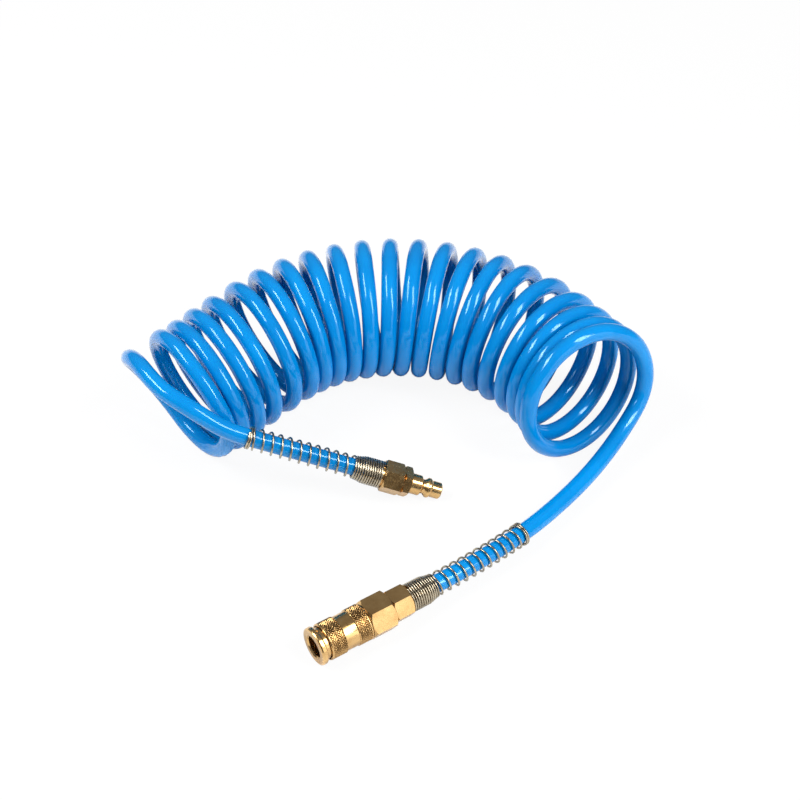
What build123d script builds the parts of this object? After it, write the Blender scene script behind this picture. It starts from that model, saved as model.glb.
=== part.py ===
from build123d import *

import math
import os

# Coiled air hose with a plug on one end and a quick coupler on the other.
# Millimetres, +Z up. The hose and both fittings rest on the plane z = 0.

# Hose
HOSE_R = 5.0
HOSE_BORE_R = 3.25

# Coil: the mean radius of a turn, and the curved line that the turns are wound about
TURN_R = 37.5
COIL_OUTER_R = TURN_R + HOSE_R
COIL_INNER_R = TURN_R - HOSE_R
COIL_AXIS_Z = COIL_OUTER_R
BEND_CENTRE = (3.8, 4.6)
BEND_R = 101.0
BEND_FROM = 137.5
BEND_ARC = 90.0
LEFT_RUN = 57.0
RIGHT_BEND_R = 246.0
RIGHT_RUN = 68.0

# Fittings: the middle of the open end, and the direction from there towards the hose
# and how steeply that direction climbs. The plug rests on its tip; the coupler lies flat.
PLUG_TIP = (30.1, -19.3, 4.35)
PLUG_HEADING = 180.0
PLUG_CLIMB = 21.6
MOUTH = (-38.4, -139.6, 10.7)
COUPLER_HEADING = 33.8
COUPLER_CLIMB = 0.0

# Sizes that both fittings share
NUT_LENGTH = 12.0
NUT_CHAMFER = 1.2
NUT_FLATS = 16.8
NUT_STUB_R = 6.7
NUT_STUB_LENGTH = 11.0
NUT_BORE_R = 5.1
THREAD_R = 6.4
THREAD_LENGTH = 6.8
RUNNING_GAP = 0.05
BARB_R = 3.2
BARB_BORE_R = 2.4
BARB_LENGTH = 14.5
BARB_RIDGES = 3
HOSE_STOP = 0.6
WIRE_R = 0.6
BELL_LENGTH = 18.5
BELL_R = 8.0
BELL_STRAIGHT = 11.2
GUARD_R = 6.75
GUARD_PITCH = 5.8
GUARD_LENGTH = 65.0
GUARD_EASE = 10.0
WIRE_VALLEY = 0.35
CLOSED_PITCH = 1.1

# Plug profile, measured from the tip's end face
TIP_R = 4.9
TIP_LENGTH = 6.0
COLLAR_R = 5.85
GROOVE_R = 4.3
GROOVE_FROM = 10.2
GROOVE_TO = 11.6
PLUG_SHANK_R = 6.0
PLUG_SHANK_END = 19.4
PLUG_HEX_END = 24.3
PLUG_HEX_FLATS = 15.8
PLUG_BORE_R = 3.6

# Coupler, measured from the mouth's face
FLANGE_R = 10.7
FLANGE_LENGTH = 3.8
NECK_R = 8.9
NECK_END = 5.8
BARREL_R = 8.2
BARREL_END = 37.0
MOUTH_R = 6.05
MOUTH_END = 7.2
GUIDE_R = 6.4
SEAT_AT = 19.5
CHAMBER_R = 7.2
SLEEVE_R = 10.4
SLEEVE_GROOVE_R = 9.9
SLEEVE_END = 31.4
SLEEVE_LAND_R = 8.25
SLEEVE_RECESS_R = 9.4
SLEEVE_LAND_END = 14.5
KNURL_1_END = 15.4
KNURL_2_START = 23.0
HEX_START = 31.6
HEX_END = 46.8
HEX_FLATS = 20.4
COUNTERBORE_END = 38.6

# Locking balls: the sleeve's travel forward moves each ball inward
BALL_R = 1.6
BALL_COUNT = 4
BALL_AT = 9.0
BALL_OUT_R = 7.6
SLEEVE_TRAVEL = 2.0
BALL_TRAVEL = 0.92
VALVE_TRAVEL = 4.7

# Valve, measured from the mouth's face
VALVE_FRONT = 9.2
VALVE_SKIRT_R = 5.95
VALVE_CUP_R = 5.0
WASHER_FRONT = 15.2
WASHER_BACK = 16.2
WASHER_HOLE_R = 3.1
VALVE_WEB = 19.2
VALVE_PORT_AT = 17.9
VALVE_PORT_R = 1.0
VALVE_NECK_R = 5.8
VALVE_FLANGE_R = 6.7
VALVE_FLANGE_FROM = 20.7
VALVE_FLANGE_TO = 22.2
VALVE_SPIGOT_R = 3.5
VALVE_SPIGOT_END = 24.5

FRAME_TURN = 90.0


def aimed(heading, climb=0.0):
    """Unit vector from a heading in the floor plane and a climb above it."""
    level = math.cos(math.radians(climb))
    return Vector(
        level * math.cos(math.radians(heading)),
        level * math.sin(math.radians(heading)),
        math.sin(math.radians(climb)),
    )


PLUG_AXIS = aimed(PLUG_HEADING, PLUG_CLIMB)
COUPLER_AXIS = aimed(COUPLER_HEADING, COUPLER_CLIMB)


def station(origin, axis, distance):
    """Point on a fitting's axis at a distance from its open end."""
    return Vector(*origin) + axis * distance


def profile_plane(origin, axis):
    """Plane through a fitting's axis: x runs towards the hose, y is up."""
    side = axis.cross(Vector(0, 0, 1))
    return Plane(origin=Vector(*origin), x_dir=axis, z_dir=side)


def cross_plane(origin, axis, distance):
    """Plane square to a fitting's axis, facing the hose, with its x axis up."""
    up = axis.cross(Vector(0, 0, 1)).cross(axis)
    return Plane(origin=station(origin, axis, distance), x_dir=up, z_dir=axis)


def spoke(plane, angle):
    """Unit vector in a cross plane, turned by an angle from the plane's x axis."""
    return plane.x_dir.rotate(Axis((0, 0, 0), tuple(plane.z_dir)), angle)


def revolved(origin, axis, points, mode=Mode.ADD):
    """Turn a closed outline of (distance, radius) points about a fitting's axis."""
    with BuildSketch(profile_plane(origin, axis)) as outline:
        with BuildLine():
            Polyline(*points, close=True)
        make_face()
    revolve(
        outline.sketch,
        axis=Axis(Vector(*origin), axis),
        mode=mode,
    )


def hexagon(origin, axis, start, end, flats, chamfer):
    """Hexagonal length with a flat facing the floor and its corners chamfered."""
    with BuildSketch(cross_plane(origin, axis, start)) as outline:
        RegularPolygon(flats / 2, 6, major_radius=False, rotation=FRAME_TURN)
    extrude(outline.sketch, amount=end - start)
    corner = flats / 2 / math.cos(math.radians(30)) + 0.1
    shoulder = flats / 2 - 0.2
    revolved(
        origin,
        axis,
        [
            (start, 0),
            (start, shoulder),
            (start + chamfer, corner),
            (end - chamfer, corner),
            (end, shoulder),
            (end, 0),
        ],
        mode=Mode.INTERSECT,
    )


def barb_outline(start, end):
    """Outline of a hose barb: ridges that are steep towards the fitting."""
    ridge = (end - start - 1.0) / BARB_RIDGES
    valley = BARB_R - WIRE_VALLEY
    points = [(start, valley), (start + 1.0, valley)]
    for i in range(BARB_RIDGES):
        crest = start + 1.0 + i * ridge
        points += [(crest, BARB_R), (crest + ridge, valley)]
    return points


def ring(origin, axis, distance, major, minor):
    """Round-section seal ring about a fitting's axis."""
    with BuildSketch(profile_plane(origin, axis)) as section:
        with Locations((distance, major)):
            Circle(minor)
    revolve(section.sketch, axis=Axis(Vector(*origin), axis))


def wound_wire(origin, axis, start, length, turns, mean_r, wire_r):
    """Round wire wound into a coil spring about a fitting's axis."""
    base = station(origin, axis, start)
    with BuildLine() as line:
        Helix(
            pitch=length / turns,
            height=length,
            radius=mean_r,
            center=base,
            direction=axis,
        )
    begin = line.line @ 0
    with BuildSketch(Plane(origin=begin, z_dir=line.line % 0)) as section:
        Circle(wire_r)
    sweep(section.sketch, path=line.line, is_frenet=True)


def hose_tube(label, route, radii):
    """Hollow hose along straight runs joined by tangent arcs."""
    with BuildPart() as tube:
        with BuildLine() as path:
            FilletPolyline(*route, radius=radii)
        start = Plane(origin=path.line @ 0, z_dir=path.line % 0)
        with BuildSketch(start):
            Circle(HOSE_R)
            Circle(HOSE_BORE_R, mode=Mode.SUBTRACT)
        sweep(path=path.line)
    tube.part.label = label
    section = math.pi * (HOSE_R**2 - HOSE_BORE_R**2)
    length = path.wire().length
    share = tube.part.volume / (section * length)
    print(label, "length", round(length, 1), "volume / (section x length)", round(share, 4))
    return tube.part


def bend_radii(label, route):
    """Radius at each inner point: 0.45 of the shorter run over tan(half the turn)."""
    radii = []
    for before, here, after in zip(route, route[1:], route[2:]):
        run_in = Vector(*here) - Vector(*before)
        run_out = Vector(*after) - Vector(*here)
        turn = math.radians(run_in.get_angle(run_out))
        radii.append(0.45 * min(run_in.length, run_out.length) / math.tan(turn / 2))
    print(label, "radii", [round(r, 1) for r in radii])
    return radii


def make_spring_guard(label, origin, axis, start):
    """One wire: a close-wound bell over the nut's stub, then open turns along the hose."""
    bell_end = start + BELL_LENGTH
    free_end = bell_end + GUARD_LENGTH
    ribs = round(BELL_LENGTH / (2 * WIRE_R))
    pitch = BELL_LENGTH / ribs

    def crest(distance):
        taper = max(0.0, distance - start - BELL_STRAIGHT) / (BELL_LENGTH - BELL_STRAIGHT)
        return BELL_R - (BELL_R - GUARD_R) * math.sin(taper * math.pi / 2)

    with BuildPart() as guard:
        with BuildSketch(profile_plane(origin, axis)) as bell:
            with BuildLine():
                for i in range(ribs):
                    left = start + i * pitch
                    middle = left + pitch / 2
                    right = left + pitch
                    ThreePointArc(
                        (left, crest(left) - WIRE_VALLEY),
                        (middle, crest(middle)),
                        (right, crest(right) - WIRE_VALLEY),
                    )
                inner = 2 * WIRE_R
                Polyline(
                    (bell_end, crest(bell_end) - WIRE_VALLEY),
                    (bell_end, GUARD_R - inner),
                    (start + BELL_STRAIGHT, BELL_R - inner),
                    (start, BELL_R - inner),
                    (start, crest(start) - WIRE_VALLEY),
                )
            make_face()
        revolve(bell.sketch, axis=Axis(Vector(*origin), axis))
        turns = round(GUARD_LENGTH / GUARD_PITCH)
        wound_wire(
            origin,
            axis,
            bell_end - WIRE_R,
            GUARD_LENGTH - 2 * WIRE_R,
            turns,
            GUARD_R - WIRE_R,
            WIRE_R,
        )
        for closed in range(2):
            ring(origin, axis, free_end - WIRE_R - closed * CLOSED_PITCH, GUARD_R - WIRE_R, WIRE_R)
    guard.part.label = label
    return guard.part


def make_nut(label, origin, axis, start):
    """Clamping nut with a stub that carries the spring guard's bell."""
    end = start + NUT_LENGTH
    with BuildPart() as nut:
        hexagon(origin, axis, start, end, NUT_FLATS, NUT_CHAMFER)
        revolved(
            origin,
            axis,
            [(end - 0.5, 0), (end - 0.5, NUT_STUB_R), (end + NUT_STUB_LENGTH, NUT_STUB_R),
             (end + NUT_STUB_LENGTH, 0)],
        )
        thread_r = THREAD_R + RUNNING_GAP
        thread_end = start + THREAD_LENGTH + 0.6
        revolved(
            origin,
            axis,
            [
                (start, 0),
                (start, thread_r),
                (thread_end, thread_r),
                (thread_end + 1.4, NUT_BORE_R),
                (end + NUT_STUB_LENGTH, NUT_BORE_R),
                (end + NUT_STUB_LENGTH, 0),
            ],
            mode=Mode.SUBTRACT,
        )
    nut.part.label = label
    return nut.part


# ---------------------------------------------------------------- coil
heading_left = BEND_FROM - 90.0
heading_right = BEND_FROM - BEND_ARC - 90.0
bend_start = Vector(*BEND_CENTRE, COIL_AXIS_Z) + aimed(BEND_FROM) * BEND_R
left_end = bend_start - aimed(heading_left) * LEFT_RUN
with BuildPart() as hose_coil:
    with BuildLine() as coil_axis:
        left_line = Line(left_end, bend_start)
        middle_arc = JernArc(bend_start, left_line % 1, BEND_R, -BEND_ARC)
        right_turn = -math.degrees(RIGHT_RUN / RIGHT_BEND_R)
        JernArc(middle_arc @ 1, middle_arc % 1, RIGHT_BEND_R, right_turn)
    with BuildSketch(Plane(origin=left_end, z_dir=left_line % 0)):
        Circle(COIL_OUTER_R)
        Circle(COIL_INNER_R, mode=Mode.SUBTRACT)
    sweep(path=coil_axis.line)
hose_coil.part.label = "hose_coil"

# ---------------------------------------------------------------- tails
def hose_stop(origin, axis, hex_end):
    """Where the hose meets the thread, and the bend's corner past the guard's free end."""
    inside = station(origin, axis, hex_end + THREAD_LENGTH + HOSE_STOP)
    free_end = hex_end + NUT_LENGTH + BELL_LENGTH + GUARD_LENGTH
    corner = station(origin, axis, free_end + GUARD_EASE)
    return [tuple(corner), tuple(inside)]


# The last turn hangs loose, rises over its top and runs down in front of the coil to the plug
plug_route = [
    (-119.4, 18.1, 79.4),
    (-107.0, 3.6, 74.5),
    (-96.6, -5.5, 61.0),
    (-90.6, -6.4, 42.0),
    (-94.6, -1.4, 22.0),
    (-105.3, 12.4, 7.5),
    (-120.0, 30.6, 6.0),
    (-135.0, 45.1, 20.4),
    (-147.9, 46.3, 41.9),
    (-152.5, 33.3, 62.8),
    (-143.3, 14.2, 76.3),
    (-128.4, -7.0, 73.9),
    (-108.7, -17.8, 66.9),
] + hose_stop(PLUG_TIP, PLUG_AXIS, PLUG_HEX_END)

# The other end leaves the coil's side, comes down to the floor and runs to the coupler
coupler_route = [
    (151.4, 42.1, 43.5),
    (151.1, 34.1, 28.6),
    (141.0, 20.6, 18.8),
    (128.3, 3.0, 12.6),
    (113.3, -16.3, 9.6),
    (97.5, -36.0, 8.9),
] + hose_stop(MOUTH, COUPLER_AXIS, HEX_END)
plug_tail = hose_tube("hose_tail_plug", plug_route, bend_radii("plug tail", plug_route))
coupler_tail = hose_tube(
    "hose_tail_coupler", coupler_route, bend_radii("coupler tail", coupler_route)
)

# ---------------------------------------------------------------- plug end
with BuildPart() as plug_body:
    hexagon(PLUG_TIP, PLUG_AXIS, PLUG_SHANK_END, PLUG_HEX_END, PLUG_HEX_FLATS, 0.9)
    thread_end = PLUG_HEX_END + THREAD_LENGTH
    barb_end = thread_end + BARB_LENGTH
    revolved(
        PLUG_TIP,
        PLUG_AXIS,
        [
            (0, 0),
            (0, TIP_R - 0.7),
            (0.7, TIP_R),
            (TIP_LENGTH, TIP_R),
            (TIP_LENGTH + 0.8, COLLAR_R - 0.25),
            (TIP_LENGTH + 1.3, COLLAR_R),
            (TIP_LENGTH + 2.3, COLLAR_R),
            (TIP_LENGTH + 2.9, COLLAR_R - 0.4),
            (GROOVE_FROM, GROOVE_R),
            (GROOVE_TO, GROOVE_R),
            (GROOVE_TO + 1.1, PLUG_SHANK_R - 0.3),
            (GROOVE_TO + 1.5, PLUG_SHANK_R),
            (PLUG_SHANK_END + 0.5, PLUG_SHANK_R),
            (PLUG_SHANK_END + 0.5, THREAD_R - 0.6),
            (PLUG_HEX_END + 0.5, THREAD_R - 0.6),
            (PLUG_HEX_END + 1.1, THREAD_R),
            (thread_end, THREAD_R),
        ]
        + barb_outline(thread_end, barb_end)
        + [(barb_end, 0)],
    )
    revolved(
        PLUG_TIP,
        PLUG_AXIS,
        [
            (0, 0),
            (0, PLUG_BORE_R),
            (PLUG_SHANK_END, PLUG_BORE_R),
            (PLUG_SHANK_END + 1.2, BARB_BORE_R),
            (barb_end, BARB_BORE_R),
            (barb_end, 0),
        ],
        mode=Mode.SUBTRACT,
    )
plug_body.part.label = "plug_body"

plug_nut = make_nut("plug_nut", PLUG_TIP, PLUG_AXIS, PLUG_HEX_END)
plug_guard = make_spring_guard(
    "plug_spring_guard",
    PLUG_TIP,
    PLUG_AXIS,
    PLUG_HEX_END + NUT_LENGTH,
)

# ---------------------------------------------------------------- coupler end
with BuildPart() as coupler_body:
    revolved(
        MOUTH,
        COUPLER_AXIS,
        [
            (0, MOUTH_R + 0.8),
            (0, FLANGE_R - 1.0),
            (0.3, FLANGE_R - 0.3),
            (1.0, FLANGE_R),
            (2.6, FLANGE_R),
            (3.4, FLANGE_R - 0.5),
            (FLANGE_LENGTH, FLANGE_R - 1.3),
            (FLANGE_LENGTH, NECK_R),
            (NECK_END, NECK_R),
            (NECK_END, BARREL_R),
            (BARREL_END, BARREL_R),
            (BARREL_END, CHAMBER_R),
            (SEAT_AT, CHAMBER_R),
            (SEAT_AT, GUIDE_R),
            (MOUTH_END, GUIDE_R),
            (MOUTH_END, MOUTH_R),
            (0.8, MOUTH_R),
        ],
    )
    for i in range(BALL_COUNT):
        angle = (i + 0.5) * 360 / BALL_COUNT
        hole_plane = cross_plane(MOUTH, COUPLER_AXIS, BALL_AT)
        outward = spoke(hole_plane, angle)
        with BuildSketch(Plane(origin=hole_plane.origin + outward * 5, z_dir=outward)):
            Circle(BALL_R + RUNNING_GAP)
        extrude(amount=5, mode=Mode.SUBTRACT)
coupler_body.part.label = "coupler_body"

with BuildPart() as coupler_adapter:
    hexagon(MOUTH, COUPLER_AXIS, HEX_START, HEX_END, HEX_FLATS, 1.6)
    thread_end = HEX_END + THREAD_LENGTH
    barb_end = thread_end + BARB_LENGTH
    revolved(
        MOUTH,
        COUPLER_AXIS,
        [
            (HEX_END - 0.5, 0),
            (HEX_END - 0.5, THREAD_R - 0.6),
            (HEX_END + 0.5, THREAD_R - 0.6),
            (HEX_END + 1.1, THREAD_R),
            (thread_end, THREAD_R),
        ]
        + barb_outline(thread_end, barb_end)
        + [(barb_end, 0)],
    )
    revolved(
        MOUTH,
        COUPLER_AXIS,
        [
            (HEX_START, 0),
            (HEX_START, BARREL_R + RUNNING_GAP),
            (COUNTERBORE_END, BARREL_R + RUNNING_GAP),
            (COUNTERBORE_END, BARB_BORE_R),
            (barb_end, BARB_BORE_R),
            (barb_end, 0),
        ],
        mode=Mode.SUBTRACT,
    )
coupler_adapter.part.label = "coupler_adapter"

coupler_nut = make_nut("coupler_nut", MOUTH, COUPLER_AXIS, HEX_END)
coupler_guard = make_spring_guard(
    "coupler_spring_guard",
    MOUTH,
    COUPLER_AXIS,
    HEX_END + NUT_LENGTH,
)

ramp = SLEEVE_TRAVEL / BALL_TRAVEL
ramp_end = BALL_AT + (SLEEVE_RECESS_R - SLEEVE_LAND_R) * ramp
with BuildPart() as coupler_sleeve:
    revolved(
        MOUTH,
        COUPLER_AXIS,
        [
            (NECK_END, SLEEVE_RECESS_R),
            (NECK_END, SLEEVE_R - 0.4),
            (NECK_END + 0.4, SLEEVE_R),
            (KNURL_1_END, SLEEVE_R),
            (KNURL_1_END, SLEEVE_GROOVE_R),
            (KNURL_2_START, SLEEVE_GROOVE_R),
            (KNURL_2_START, SLEEVE_R),
            (SLEEVE_END - 0.4, SLEEVE_R),
            (SLEEVE_END, SLEEVE_R - 0.4),
            (SLEEVE_END, SLEEVE_RECESS_R),
            (SLEEVE_LAND_END, SLEEVE_RECESS_R),
            (SLEEVE_LAND_END, SLEEVE_LAND_R),
            (ramp_end, SLEEVE_LAND_R),
            (BALL_AT, SLEEVE_RECESS_R),
        ],
    )
coupler_sleeve.part.label = "coupler_sleeve"

with BuildPart() as sleeve_spring:
    wound_wire(MOUTH, COUPLER_AXIS, SLEEVE_LAND_END + 0.6, 16.0, 6, 8.8, 0.5)
sleeve_spring.part.label = "sleeve_spring"

lock_balls = []
for i in range(BALL_COUNT):
    angle = (i + 0.5) * 360 / BALL_COUNT
    ball_plane = cross_plane(MOUTH, COUPLER_AXIS, BALL_AT)
    outward = spoke(ball_plane, angle)
    print("ball", i + 1, "inward axis", [round(-c, 6) for c in outward])
    with BuildPart() as lock_ball:
        with Locations(ball_plane.origin + outward * BALL_OUT_R):
            Sphere(BALL_R)
    lock_ball.part.label = f"lock_ball_{i + 1}"
    lock_balls.append(lock_ball.part)

with BuildPart() as valve_poppet:
    revolved(
        MOUTH,
        COUPLER_AXIS,
        [
            (VALVE_FRONT, VALVE_CUP_R),
            (VALVE_FRONT, VALVE_SKIRT_R - 0.3),
            (VALVE_FRONT + 0.3, VALVE_SKIRT_R),
            (SEAT_AT - 0.3, VALVE_SKIRT_R),
            (SEAT_AT - 0.3, VALVE_NECK_R),
            (VALVE_FLANGE_FROM, VALVE_NECK_R),
            (VALVE_FLANGE_FROM, VALVE_FLANGE_R),
            (VALVE_FLANGE_TO, VALVE_FLANGE_R),
            (VALVE_FLANGE_TO, VALVE_SPIGOT_R),
            (VALVE_SPIGOT_END, VALVE_SPIGOT_R),
            (VALVE_SPIGOT_END, 0),
            (VALVE_WEB, 0),
            (VALVE_WEB, VALVE_CUP_R - 0.8),
            (WASHER_BACK, VALVE_CUP_R - 0.8),
            (WASHER_BACK, VALVE_CUP_R),
        ],
    )
    for i in range(4):
        port_plane = cross_plane(MOUTH, COUPLER_AXIS, VALVE_PORT_AT)
        outward = spoke(port_plane, i * 90)
        with BuildSketch(Plane(origin=port_plane.origin, z_dir=outward)):
            Circle(VALVE_PORT_R)
        extrude(amount=VALVE_SKIRT_R + 1, mode=Mode.SUBTRACT)
valve_poppet.part.label = "valve_poppet"

with BuildPart() as tip_seal:
    revolved(
        MOUTH,
        COUPLER_AXIS,
        [
            (WASHER_FRONT, WASHER_HOLE_R),
            (WASHER_FRONT, VALVE_CUP_R),
            (WASHER_BACK, VALVE_CUP_R),
            (WASHER_BACK, WASHER_HOLE_R),
        ],
    )
tip_seal.part.label = "tip_seal"

with BuildPart() as valve_seal:
    ring(MOUTH, COUPLER_AXIS, SEAT_AT + 0.6, VALVE_NECK_R + 0.6, 0.59)
valve_seal.part.label = "valve_seal"

with BuildPart() as valve_spring:
    wound_wire(
        MOUTH,
        COUPLER_AXIS,
        VALVE_FLANGE_TO + 0.5,
        COUNTERBORE_END - VALVE_FLANGE_TO - 1.0,
        7,
        5.2,
        0.45,
    )
valve_spring.part.label = "valve_spring"

with BuildPart() as body_seal:
    ring(MOUTH, COUPLER_AXIS, (BARREL_END + COUNTERBORE_END) / 2, 7.35, 0.79)
body_seal.part.label = "body_seal"

# ---------------------------------------------------------------- files
pieces = [
    hose_coil.part,
    plug_tail,
    coupler_tail,
    plug_body.part,
    plug_nut,
    plug_guard,
    coupler_body.part,
    coupler_adapter.part,
    coupler_nut,
    coupler_guard,
    coupler_sleeve.part,
    sleeve_spring.part,
    valve_poppet.part,
    tip_seal.part,
    valve_seal.part,
    valve_spring.part,
    body_seal.part,
] + lock_balls
os.makedirs("parts", exist_ok=True)
boxes = [piece.bounding_box() for piece in pieces]
for name in ("X", "Y", "Z"):
    low = min(getattr(box.min, name) for box in boxes)
    high = max(getattr(box.max, name) for box in boxes)
    print("box", name, round(low, 2), round(high, 2))
for piece in pieces:
    export_step(piece, f"parts/{piece.label}.step")
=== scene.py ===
import math

import bmesh
import bpy
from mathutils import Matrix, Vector


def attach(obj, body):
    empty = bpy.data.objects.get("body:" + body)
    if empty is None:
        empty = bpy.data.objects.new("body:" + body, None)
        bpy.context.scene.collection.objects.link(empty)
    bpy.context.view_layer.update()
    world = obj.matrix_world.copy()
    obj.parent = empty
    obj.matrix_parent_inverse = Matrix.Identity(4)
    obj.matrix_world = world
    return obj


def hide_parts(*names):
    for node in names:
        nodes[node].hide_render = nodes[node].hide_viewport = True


# Coiled air hose at rest on a white table. Metres, in the CAD frame.

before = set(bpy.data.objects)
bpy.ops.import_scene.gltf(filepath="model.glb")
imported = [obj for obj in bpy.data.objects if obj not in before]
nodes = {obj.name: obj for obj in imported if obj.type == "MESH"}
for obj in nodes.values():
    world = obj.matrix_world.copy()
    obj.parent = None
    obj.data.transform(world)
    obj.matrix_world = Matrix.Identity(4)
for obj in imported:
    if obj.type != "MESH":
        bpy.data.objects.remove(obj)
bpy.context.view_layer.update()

MM = 0.001

# Hose and coil, in millimetres and degrees. Turns are counted from the coil's left end.
HOSE_R = 5.0
TURN_R = 37.5
FIRST_TURN = 1.0
LAST_TURN = 21.25
STEPS_PER_TURN = 16
MID_TURN = 11.0
MID_AXIS = Vector((-0.4, 104.4))
MID_HEADING = -2.9
MID_REACH = 81.3
BEND_R = 108.9
LEFT_BEND_R = 491.0
RIGHT_BEND_R = 134.0

# How the turns vary along the coil, as powers of u, which runs from about -1 to 1
PITCH = (14.5, 2.2, 2.5, -3.0, -5.3)
LEAN = (1.3, 18.4, -12.7, -21.4)
TWIST = (-0.7, -17.7, 2.6, 3.7)

# Two wider openings between turns: (turn, extra distance)
OPENINGS = ((4.6, 4.6), (17.1, 3.9))
OPENING_TURNS = 0.7

# The end turns open out: where that begins, by how much, and its limit
SLACK_TURNS = 2.0
SLACK_LIMIT = 1.2
RIGHT_SLACK_START = 19.0
RIGHT_SLACK = 2.3
LEFT_SLACK_START = 2.0
LEFT_SLACK = 3.4

# Fittings: the open end, the heading and climb of the axis from there to the hose
PLUG_TIP = Vector((30.1, -19.3, 4.35))
PLUG_HEADING = 180.0
PLUG_CLIMB = 21.6
MOUTH = Vector((-38.4, -139.6, 10.7))
COUPLER_HEADING = 33.8
COUPLER_CLIMB = 0.0

# Stations along the fittings, in millimetres from the open end
PLUG_HEX_END = 24.3
COUPLER_HEX_END = 46.8
NUT_LENGTH = 12.0
HOSE_STOP = 7.4
BELL_LENGTH = 18.5
BELL_STRAIGHT = 11.2
BELL_R = 8.0
GUARD_R = 6.75
GUARD_LENGTH = 65.0
GUARD_PITCH = 5.8
GUARD_EASE = 10.0
COUPLER_RUN_IN = 7.0
WIRE_R = 0.6
BELL_SPACING = 2.3 * WIRE_R
END_SPACING = 2.04 * WIRE_R
END_TURNS = 2
WIRE_STEPS = 20


def aimed(heading, climb=0.0):
    """Unit vector from a heading in the floor plane and a climb above it."""
    level = math.cos(math.radians(climb))
    return Vector(
        (
            level * math.cos(math.radians(heading)),
            level * math.sin(math.radians(heading)),
            math.sin(math.radians(climb)),
        )
    )


PLUG_AXIS = aimed(PLUG_HEADING, PLUG_CLIMB)
COUPLER_AXIS = aimed(COUPLER_HEADING, COUPLER_CLIMB)


# ---------------------------------------------------------------- materials
def linear(red, green, blue):
    """Linear colour from 8-bit display values."""
    out = []
    for value in (red, green, blue):
        share = value / 255
        out.append(share / 12.92 if share <= 0.04045 else ((share + 0.055) / 1.055) ** 2.4)
    return (*out, 1.0)


def new_material(name):
    """Material, its node tree and its shader."""
    material = bpy.data.materials.new(name)
    material.use_nodes = True
    tree = material.node_tree
    return material, tree, tree.nodes["Principled BSDF"]


def noise(tree, coordinates, scale, detail=3.0, roughness=0.5):
    """Factor of a noise texture."""
    node = tree.nodes.new("ShaderNodeTexNoise")
    node.inputs["Scale"].default_value = scale
    node.inputs["Detail"].default_value = detail
    node.inputs["Roughness"].default_value = roughness
    tree.links.new(coordinates, node.inputs["Vector"])
    return node.outputs["Fac"]


def ramp(tree, factor, low, high, start=0.3, end=0.7):
    """Colour ramp from low to high."""
    node = tree.nodes.new("ShaderNodeValToRGB")
    node.color_ramp.elements[0].position = start
    node.color_ramp.elements[0].color = low
    node.color_ramp.elements[1].position = end
    node.color_ramp.elements[1].color = high
    tree.links.new(factor, node.inputs["Fac"])
    return node.outputs["Color"]


def spread(tree, factor, low, high):
    """Number that runs from low to high with a factor."""
    node = tree.nodes.new("ShaderNodeMapRange")
    node.inputs["From Min"].default_value = 0.3
    node.inputs["From Max"].default_value = 0.7
    node.inputs["To Min"].default_value = low
    node.inputs["To Max"].default_value = high
    tree.links.new(factor, node.inputs["Value"])
    return node.outputs["Result"]


def bump(tree, shader, height, distance, strength):
    """Fine relief on a shader's surface."""
    node = tree.nodes.new("ShaderNodeBump")
    node.inputs["Distance"].default_value = distance
    node.inputs["Strength"].default_value = strength
    tree.links.new(height, node.inputs["Height"])
    tree.links.new(node.outputs["Normal"], shader.inputs["Normal"])


def object_coordinates(tree):
    return tree.nodes.new("ShaderNodeTexCoord").outputs["Object"]


def hose_material():
    """Glossy blue polyurethane, slightly clouded, with faint waviness from extrusion."""
    material, tree, shader = new_material("hose_polyurethane")
    place = object_coordinates(tree)
    cloud = noise(tree, place, 28.0, 2.0)
    colour = ramp(tree, cloud, linear(0, 120, 190), linear(0, 131, 202))
    tree.links.new(colour, shader.inputs["Base Color"])
    fine = noise(tree, place, 900.0, 3.0)
    tree.links.new(spread(tree, fine, 0.08, 0.14), shader.inputs["Roughness"])
    bump(tree, shader, noise(tree, place, 120.0, 1.0), 0.00005, 0.4)
    shader.inputs["IOR"].default_value = 1.48
    shader.inputs["Specular Tint"].default_value = (0.55, 0.85, 1.0, 1)
    shader.inputs["Subsurface Weight"].default_value = 0.15
    shader.inputs["Subsurface Radius"].default_value = (0.25, 0.6, 1.0)
    shader.inputs["Subsurface Scale"].default_value = 0.003
    return material


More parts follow.
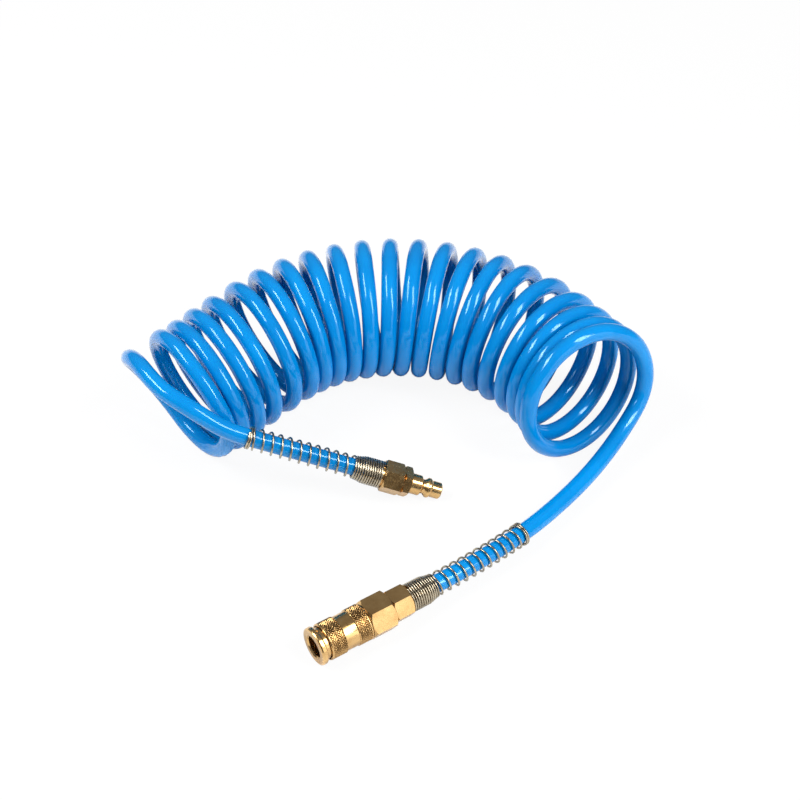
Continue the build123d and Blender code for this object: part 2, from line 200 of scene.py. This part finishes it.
def turned_brass(name, axis, grooved=False):
    """Polished brass with fine turning lines around an axis and a warm, uneven tarnish. Grooved
    brass also gets painted shade, darker where the knurl is cut deepest.
    """
    material, tree, shader = new_material(name)
    place = object_coordinates(tree)
    mapping = tree.nodes.new("ShaderNodeMapping")
    mapping.vector_type = "TEXTURE"
    mapping.inputs["Rotation"].default_value = axis.to_track_quat("X", "Z").to_euler()
    tree.links.new(place, mapping.inputs["Vector"])
    rings = tree.nodes.new("ShaderNodeTexWave")
    rings.bands_direction = "X"
    rings.inputs["Scale"].default_value = 420.0
    rings.inputs["Distortion"].default_value = 1.5
    rings.inputs["Detail"].default_value = 3.0
    tree.links.new(mapping.outputs["Vector"], rings.inputs["Vector"])
    tarnish = noise(tree, place, 130.0, 5.0, 0.6)
    colour = ramp(tree, tarnish, linear(184, 146, 94), linear(210, 174, 118))
    if grooved:
        # Painted shade: the brass colour is mixed towards dark brown by the depth of the knurl's
        # cut, so its grooves look shaded
        depth = tree.nodes.new("ShaderNodeAttribute")
        depth.attribute_name = "groove"
        groove_shade = tree.nodes.new("ShaderNodeMix")
        groove_shade.data_type = "RGBA"
        groove_shade.inputs["B"].default_value = linear(128, 94, 52)
        tree.links.new(depth.outputs["Fac"], groove_shade.inputs["Factor"])
        tree.links.new(colour, groove_shade.inputs["A"])
        colour = groove_shade.outputs["Result"]
    tree.links.new(colour, shader.inputs["Base Color"])
    polish = noise(tree, place, 420.0, 4.0)
    tree.links.new(spread(tree, polish, 0.14, 0.27), shader.inputs["Roughness"])
    bump(tree, shader, rings.outputs["Fac"], 0.00002, 0.35)
    shader.inputs["Metallic"].default_value = 1.0
    return material


def wire_material():
    """Nickel-plated spring wire with slight clouding."""
    material, tree, shader = new_material("spring_wire")
    place = object_coordinates(tree)
    colour = ramp(tree, noise(tree, place, 240.0, 3.0), linear(138, 128, 110), linear(186, 174, 150))
    tree.links.new(colour, shader.inputs["Base Color"])
    tree.links.new(spread(tree, noise(tree, place, 900.0), 0.16, 0.30), shader.inputs["Roughness"])
    bump(tree, shader, noise(tree, place, 1500.0), 0.00002, 0.4)
    shader.inputs["Metallic"].default_value = 1.0
    return material


def ball_material():
    """Hardened steel ball."""
    material, tree, shader = new_material("ball_steel")
    place = object_coordinates(tree)
    colour = ramp(tree, noise(tree, place, 500.0), linear(180, 182, 186), linear(210, 212, 216))
    tree.links.new(colour, shader.inputs["Base Color"])
    tree.links.new(spread(tree, noise(tree, place, 1200.0), 0.08, 0.16), shader.inputs["Roughness"])
    shader.inputs["Metallic"].default_value = 1.0
    return material


def seal_material():
    """Black nitrile rubber with a fine moulded grain."""
    material, tree, shader = new_material("seal_rubber")
    place = object_coordinates(tree)
    grain = noise(tree, place, 1800.0, 4.0)
    colour = ramp(tree, grain, linear(22, 22, 24), linear(40, 40, 43))
    tree.links.new(colour, shader.inputs["Base Color"])
    tree.links.new(spread(tree, grain, 0.5, 0.7), shader.inputs["Roughness"])
    bump(tree, shader, grain, 0.00003, 0.5)
    return material


def dress(obj, material):
    """One material on a piece."""
    obj.data.materials.clear()
    obj.data.materials.append(material)


# ---------------------------------------------------------------- hose
def station(origin, axis, distance):
    """Point on a fitting's axis at a distance from its open end."""
    return origin + axis * distance


def polynomial(coefficients, u):
    return sum(factor * u**power for power, factor in enumerate(coefficients))


def along_coil(turn):
    """Place of a turn along the coil, 0 at the middle turn."""
    return (turn - MID_TURN) / MID_TURN


def turn_pitch(turn):
    """Distance along the coil's axis per turn: close at both ends, with two wider openings."""
    pitch = polynomial(PITCH, along_coil(turn))
    for middle, extra in OPENINGS:
        pitch += extra * math.exp(-(((turn - middle) / OPENING_TURNS) ** 2))
    return pitch


def axis_frame(run):
    """Point and heading of the coil's axis at a run from its middle: three tangent bends."""
    steps = max(2, int(abs(run) / 0.5))
    step = run / steps
    point = MID_AXIS.copy()
    for i in range(steps):
        here = (i + 0.5) * step
        angle = axis_heading(here)
        point += Vector((math.cos(angle), -math.sin(angle))) * step
    return point, axis_heading(run)


def axis_heading(run):
    """Clockwise heading of the coil's axis, in radians."""
    inner = max(-MID_REACH, min(MID_REACH, run))
    left = min(0.0, run + MID_REACH) / LEFT_BEND_R
    right = max(0.0, run - MID_REACH) / RIGHT_BEND_R
    return math.radians(MID_HEADING) + inner / BEND_R + left + right


def turn_run(turn):
    """Run along the coil's axis from its middle to a turn."""
    steps = 60
    step = (turn - MID_TURN) / steps
    return sum(turn_pitch(MID_TURN + (i + 0.5) * step) * step for i in range(steps))


def slack(turns_past):
    """Share of an end turn's opening, from how many turns it lies past the start of it."""
    return min(SLACK_LIMIT, max(0.0, turns_past / SLACK_TURNS))


def spline_allowance(steps):
    """Outward factor on the control points of a round spline, which runs inside them.

    It is larger than the spline needs, so a ring comes out slightly larger than its radius.
    """
    return 2.0 / (1.0 + math.cos(2.0 * math.pi / steps))


def helix_point(turn):
    """Control point of the hose's centre line. Whole turns are at the top of the coil."""
    u = along_coil(turn)
    lean = math.radians(polynomial(LEAN, u))
    twist = math.radians(polynomial(TWIST, u))
    right = slack(turn - RIGHT_SLACK_START)
    left = slack(LEFT_SLACK_START - turn)
    radius = TURN_R + RIGHT_SLACK * right**2 + LEFT_SLACK * left**2
    reach = radius * spline_allowance(STEPS_PER_TURN)
    angle = 2.0 * math.pi * turn
    out = reach * math.sin(angle)
    rise = reach * math.cos(angle)
    centre, heading = axis_frame(turn_run(turn))
    forward = Vector((math.cos(heading), -math.sin(heading)))
    side = Vector((math.sin(heading), math.cos(heading)))
    slip = rise * math.sin(lean) + out * math.sin(twist)
    place = centre + side * (out * math.cos(twist)) + forward * slip
    height = rise * math.cos(lean) + radius * math.cos(lean) + HOSE_R
    return Vector((place.x, place.y, height))


# The loose turn: from the coil's left end down its front, round below, up at the back and
# over its top to the plug
LOOSE_TURN = [
    (-107.0, 3.6, 74.5),
    (-96.6, -5.5, 61.0),
    (-90.6, -6.4, 42.0),
    (-94.6, -1.4, 22.0),
    (-105.3, 12.4, 7.5),
    (-120.0, 30.6, 6.0),
    (-135.0, 45.1, 20.4),
    (-147.9, 46.3, 41.9),
    (-152.5, 33.3, 62.8),
    (-143.3, 14.2, 76.3),
    (-128.4, -7.0, 73.9),
    (-108.7, -17.8, 66.9),
]

# From the coil's right end down to the floor and along it to the coupler
RIGHT_TAIL = [
    (151.1, 34.1, 28.6),
    (141.0, 20.6, 18.8),
    (128.3, 3.0, 12.6),
    (113.3, -16.3, 9.6),
    (96.5, -35.8, 8.9),
    (79.0, -54.6, 9.4),
    (56.0, -74.6, 10.6),
]


def hose_points():
    """Control points of the whole hose, from the plug's nut to the coupler's nut."""
    plug_free_end = PLUG_HEX_END + NUT_LENGTH + BELL_LENGTH + GUARD_LENGTH
    points = [
        station(PLUG_TIP, PLUG_AXIS, PLUG_HEX_END + HOSE_STOP),
        station(PLUG_TIP, PLUG_AXIS, plug_free_end - GUARD_EASE),
        station(PLUG_TIP, PLUG_AXIS, plug_free_end + GUARD_EASE),
    ]
    points += [Vector(p) for p in reversed(LOOSE_TURN)]
    count = round((LAST_TURN - FIRST_TURN) * STEPS_PER_TURN)
    points += [helix_point(FIRST_TURN + i / STEPS_PER_TURN) for i in range(count + 1)]
    points += [Vector(p) for p in RIGHT_TAIL]
    bell_end = COUPLER_HEX_END + NUT_LENGTH + BELL_LENGTH
    points.append(station(MOUTH, COUPLER_AXIS, bell_end + COUPLER_RUN_IN))
    points.append(station(MOUTH, COUPLER_AXIS, COUPLER_HEX_END + HOSE_STOP))
    return points


def spline_curve(name, points, radius, resolution, around):
    """Round tube along a NURBS spline of order 3, and its line. All in millimetres."""
    data = bpy.data.curves.new(name, "CURVE")
    data.dimensions = "3D"
    data.resolution_u = resolution
    spline = data.splines.new("NURBS")
    spline.points.add(len(points) - 1)
    for control, point in zip(spline.points, points):
        control.co = (*(point * MM), 1.0)
    spline.order_u = 3
    spline.use_endpoint_u = True
    spline.use_smooth = True
    obj = bpy.data.objects.new(name, data)
    bpy.context.scene.collection.objects.link(obj)
    line = read_line(obj)
    data.bevel_depth = radius * MM
    data.bevel_resolution = around
    data.use_fill_caps = True
    return obj, line


def read_line(obj):
    """The curve's own line, in millimetres."""
    bpy.context.view_layer.update()
    mesh = bpy.data.meshes.new_from_object(obj)
    line = [v.co / MM for v in mesh.vertices]
    bpy.data.meshes.remove(mesh)
    return line


def line_length(line):
    """Length of a line, in millimetres."""
    return sum((b - a).length for a, b in zip(line, line[1:]))


# ---------------------------------------------------------------- spring guards
def guard_stretch(line, run):
    """Point and direction on a line at a run from its first point."""
    walked = 0.0
    for a, b in zip(line, line[1:]):
        step = (b - a).length
        if walked + step >= run:
            return a + (b - a) * ((run - walked) / step), (b - a).normalized()
        walked += step
    return line[-1], (line[-1] - line[-2]).normalized()


def guard_profile():
    """(distance from the nut, mean radius) of the wire, turn after turn, in small steps."""
    bell_turns = round(BELL_LENGTH / BELL_SPACING) - 1
    close_pitch = BELL_LENGTH / (bell_turns + 1)
    open_turns = round(GUARD_LENGTH / GUARD_PITCH)
    open_run = GUARD_LENGTH - END_TURNS * END_SPACING - 2.0 * WIRE_R
    profile = []
    distance = WIRE_R
    for turn_count, pitch in (
        (bell_turns, close_pitch),
        (open_turns, open_run / open_turns),
        (END_TURNS, END_SPACING),
    ):
        for _ in range(turn_count * WIRE_STEPS):
            taper = max(0.0, distance - BELL_STRAIGHT) / (BELL_LENGTH - BELL_STRAIGHT)
            crest = BELL_R - (BELL_R - GUARD_R) * math.sin(min(1.0, taper) * math.pi / 2)
            profile.append((distance, crest - WIRE_R))
            distance += pitch / WIRE_STEPS
    return profile


def make_guard(name, node, line, nut_end_run, material):
    """One wire wound about the hose's line: the bell, the open turns and the closed end."""
    points = []
    for i, (distance, radius) in enumerate(guard_profile()):
        centre, forward = guard_stretch(line, nut_end_run + distance)
        side = forward.cross(Vector((0, 0, 1))).normalized()
        up = side.cross(forward)
        angle = 2.0 * math.pi * i / WIRE_STEPS
        reach = radius * spline_allowance(WIRE_STEPS)
        points.append(centre + up * (reach * math.cos(angle)) + side * (reach * math.sin(angle)))
    guard, _ = spline_curve(name, points, WIRE_R, 2, 3)
    guard.data.materials.append(material)
    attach(guard, "hose")
    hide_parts(node)


# ---------------------------------------------------------------- knurled sleeve
SLEEVE_SEGMENTS = 400
KNURL_CELLS = 40
KNURL_DEPTH = 0.4
KNURL_STEP = 0.17
KNURL_SLOPE = 1.25
SLEEVE_FRONT = 5.86
SLEEVE_BACK = 31.4
SLEEVE_R = 10.4
SLEEVE_BORE_R = 9.4
WAIST_R = 9.88
LAND_BORE_R = 8.25
SHARP_EDGE = 38.0


def sleeve_outline():
    """(distance from the mouth, radius, knurled) round the sleeve's section."""
    front, back, outer, bore = SLEEVE_FRONT, SLEEVE_BACK, SLEEVE_R, SLEEVE_BORE_R
    outline = [(front, bore, 0), (front, outer - 0.5, 0), (front + 0.15, outer - 0.2, 0)]
    outline += [(front + 0.45, outer, 0), (front + 0.95, outer, 0)]
    outline += knurl_rows(front + 1.05, 14.9, outer)
    outline += [(15.0, outer, 0), (15.3, outer - 0.12, 0), (15.45, 9.9, 0), (15.6, WAIST_R, 0)]
    outline += [(22.8, WAIST_R, 0), (22.95, 9.9, 0), (23.1, outer - 0.12, 0), (23.4, outer, 0)]
    outline += knurl_rows(23.5, back - 1.05, outer)
    outline += [(back - 0.95, outer, 0), (back - 0.45, outer, 0), (back - 0.15, outer - 0.2, 0)]
    outline += [(back, outer - 0.5, 0), (back, bore, 0), (14.5, bore, 0)]
    outline += [(14.5, LAND_BORE_R, 0), (11.5, LAND_BORE_R, 0), (9.0, bore, 0)]
    return outline


def knurl_rows(start, end, radius):
    """Closely spaced points along one knurled band."""
    count = round((end - start) / KNURL_STEP)
    return [(start + (end - start) * i / count, radius, 1) for i in range(count + 1)]


def saw(value):
    """Triangle wave from 0 to 1."""
    share = value % 1.0
    return 1.0 - abs(2.0 * share - 1.0)


def make_sleeve(material):
    """The sleeve as a lathe-turned ring, with diamond knurling cut into two bands."""
    axis = COUPLER_AXIS
    side = axis.cross(Vector((0, 0, 1))).normalized()
    up = side.cross(axis)
    mesh = bmesh.new()
    # Depth of the knurl's cut at each vertex; the brass material darkens it as painted shade in the
    # grooves
    groove = mesh.verts.layers.float.new("groove")
    rings = []
    for distance, radius, knurled in sleeve_outline():
        ring = []
        for i in range(SLEEVE_SEGMENTS):
            share = i / SLEEVE_SEGMENTS
            angle = 2.0 * math.pi * share
            cut = 0.0
            if knurled:
                along = distance / (2.0 * math.pi * radius / KNURL_CELLS)
                peak = min(saw(share * KNURL_CELLS + along), saw(share * KNURL_CELLS - along))
                cut = 1.0 - min(1.0, KNURL_SLOPE * peak)
            spoke = up * math.cos(angle) + side * math.sin(angle)
            point = MOUTH + axis * distance + spoke * (radius - KNURL_DEPTH * cut)
            vertex = mesh.verts.new(point * MM)
            vertex[groove] = cut
            ring.append(vertex)
        rings.append(ring)
    for here, after in zip(rings, rings[1:] + rings[:1]):
        for i in range(SLEEVE_SEGMENTS):
            j = (i + 1) % SLEEVE_SEGMENTS
            mesh.faces.new((here[i], here[j], after[j], after[i]))
    bmesh.ops.recalc_face_normals(mesh, faces=mesh.faces)
    data = bpy.data.meshes.new("knurled_sleeve")
    mesh.to_mesh(data)
    mesh.free()
    for polygon in data.polygons:
        polygon.use_smooth = True
    data.set_sharp_from_angle(angle=math.radians(SHARP_EDGE))
    sleeve = bpy.data.objects.new("knurled_sleeve", data)
    bpy.context.scene.collection.objects.link(sleeve)
    dress(sleeve, material)
    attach(sleeve, "sleeve")
    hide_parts("coupler_sleeve")


# ---------------------------------------------------------------- stage
def make_table():
    """White table that the camera sees mostly as plain white, whatever falls on it."""
    bpy.ops.mesh.primitive_plane_add(size=8.0, location=(0, 0, -0.0002))
    table = bpy.context.object
    table.name = "table"
    material, tree, shader = new_material("table_white")
    shader.inputs["Base Color"].default_value = (0.85, 0.85, 0.85, 1)
    shader.inputs["Roughness"].default_value = 0.8
    shader.inputs["Specular IOR Level"].default_value = 0.1
    glow = tree.nodes.new("ShaderNodeEmission")
    shown = tree.nodes.new("ShaderNodeMixShader")
    seen = tree.nodes.new("ShaderNodeLightPath")
    share = tree.nodes.new("ShaderNodeMath")
    share.operation = "MULTIPLY"
    share.inputs[1].default_value = 0.92
    tree.links.new(seen.outputs["Is Camera Ray"], share.inputs[0])
    tree.links.new(share.outputs["Value"], shown.inputs["Fac"])
    tree.links.new(shader.outputs["BSDF"], shown.inputs[1])
    tree.links.new(glow.outputs["Emission"], shown.inputs[2])
    tree.links.new(shown.outputs["Shader"], tree.nodes["Material Output"].inputs["Surface"])
    table.data.materials.append(material)


def make_world():
    """Grey surroundings, darker below, that the camera sees as white."""
    world = bpy.data.worlds.new("studio")
    bpy.context.scene.world = world
    world.use_nodes = True
    tree = world.node_tree
    background = tree.nodes["Background"]
    path = tree.nodes.new("ShaderNodeLightPath")
    place = tree.nodes.new("ShaderNodeTexCoord")
    split = tree.nodes.new("ShaderNodeSeparateXYZ")
    tree.links.new(place.outputs["Generated"], split.inputs["Vector"])
    sky = ramp(tree, split.outputs["Z"], (0.12, 0.115, 0.11, 1), (0.32, 0.32, 0.33, 1), 0.05, 0.75)
    seen = tree.nodes.new("ShaderNodeMix")
    seen.data_type = "RGBA"
    seen.inputs["B"].default_value = (1.02, 1.02, 1.02, 1)
    tree.links.new(path.outputs["Is Camera Ray"], seen.inputs["Factor"])
    tree.links.new(sky, seen.inputs["A"])
    tree.links.new(seen.outputs["Result"], background.inputs["Color"])
    background.inputs["Strength"].default_value = 1.0


def area_light(name, place, target, width, height, power):
    """Rectangular lamp, aimed at a target."""
    data = bpy.data.lights.new(name, "AREA")
    data.shape = "RECTANGLE"
    data.size = width
    data.size_y = height
    data.energy = power
    light = bpy.data.objects.new(name, data)
    bpy.context.scene.collection.objects.link(light)
    light.location = place
    light.rotation_euler = (Vector(target) - Vector(place)).to_track_quat("-Z", "Y").to_euler()


def make_lights():
    """Soft boxes above at both sides, and a low, weak card at the front right."""
    area_light("softbox_left", (-0.93, -0.12, 1.17), (0, 0.02, 0.03), 1.0, 0.34, 20.0)
    area_light("softbox_right", (0.93, -0.57, 1.04), (0, 0.02, 0.03), 0.34, 1.0, 20.0)
    area_light("card_front", (1.0, -0.75, 0.28), (-0.02, -0.12, 0.01), 0.9, 0.5, 3.0)


CAMERA_TARGET = Vector((0.0068, 0.0316, 0.030))
CAMERA_ELEVATION = 42.0
CAMERA_DISTANCE = 0.9
CAMERA_LENS = 67.86


def make_camera():
    """Camera in front of the hose, looking down on it."""
    data = bpy.data.cameras.new("camera")
    data.sensor_width = 36.0
    data.lens = CAMERA_LENS
    camera = bpy.data.objects.new("camera", data)
    bpy.context.scene.collection.objects.link(camera)
    elevation = math.radians(CAMERA_ELEVATION)
    back = Vector((0.0, -math.cos(elevation), math.sin(elevation)))
    camera.location = CAMERA_TARGET + back * CAMERA_DISTANCE
    camera.rotation_euler = (-back).to_track_quat("-Z", "Y").to_euler()
    bpy.context.scene.camera = camera


# ---------------------------------------------------------------- assembly
make_camera()
blue = hose_material()
coupler_brass = turned_brass("brass_coupler", COUPLER_AXIS)
plug_brass = turned_brass("brass_plug", PLUG_AXIS)
wire = wire_material()

hose, hose_line = spline_curve("hose", hose_points(), HOSE_R, 4, 6)
dress(hose, blue)
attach(hose, "hose")
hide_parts("hose_coil", "hose_tail_plug", "hose_tail_coupler")
print("hose length", round(line_length(hose_line) * MM, 3))

bell_offset = NUT_LENGTH - HOSE_STOP
make_guard("plug_guard_wire", "plug_spring_guard", hose_line, bell_offset, wire)
make_guard("coupler_guard_wire", "coupler_spring_guard", hose_line[::-1], bell_offset, wire)
make_sleeve(turned_brass("brass_knurled", COUPLER_AXIS, grooved=True))

for node in ("coupler_body", "coupler_adapter", "coupler_nut", "valve_poppet"):
    dress(nodes[node], coupler_brass)
for node in ("plug_body", "plug_nut"):
    dress(nodes[node], plug_brass)
for node in ("sleeve_spring", "valve_spring"):
    dress(nodes[node], wire)
steel = ball_material()
for node in ("lock_ball_1", "lock_ball_2", "lock_ball_3", "lock_ball_4"):
    dress(nodes[node], steel)
rubber = seal_material()
for node in ("tip_seal", "valve_seal", "body_seal"):
    dress(nodes[node], rubber)

make_table()
make_world()
make_lights()
bpy.context.scene.view_settings.view_transform = "Standard"
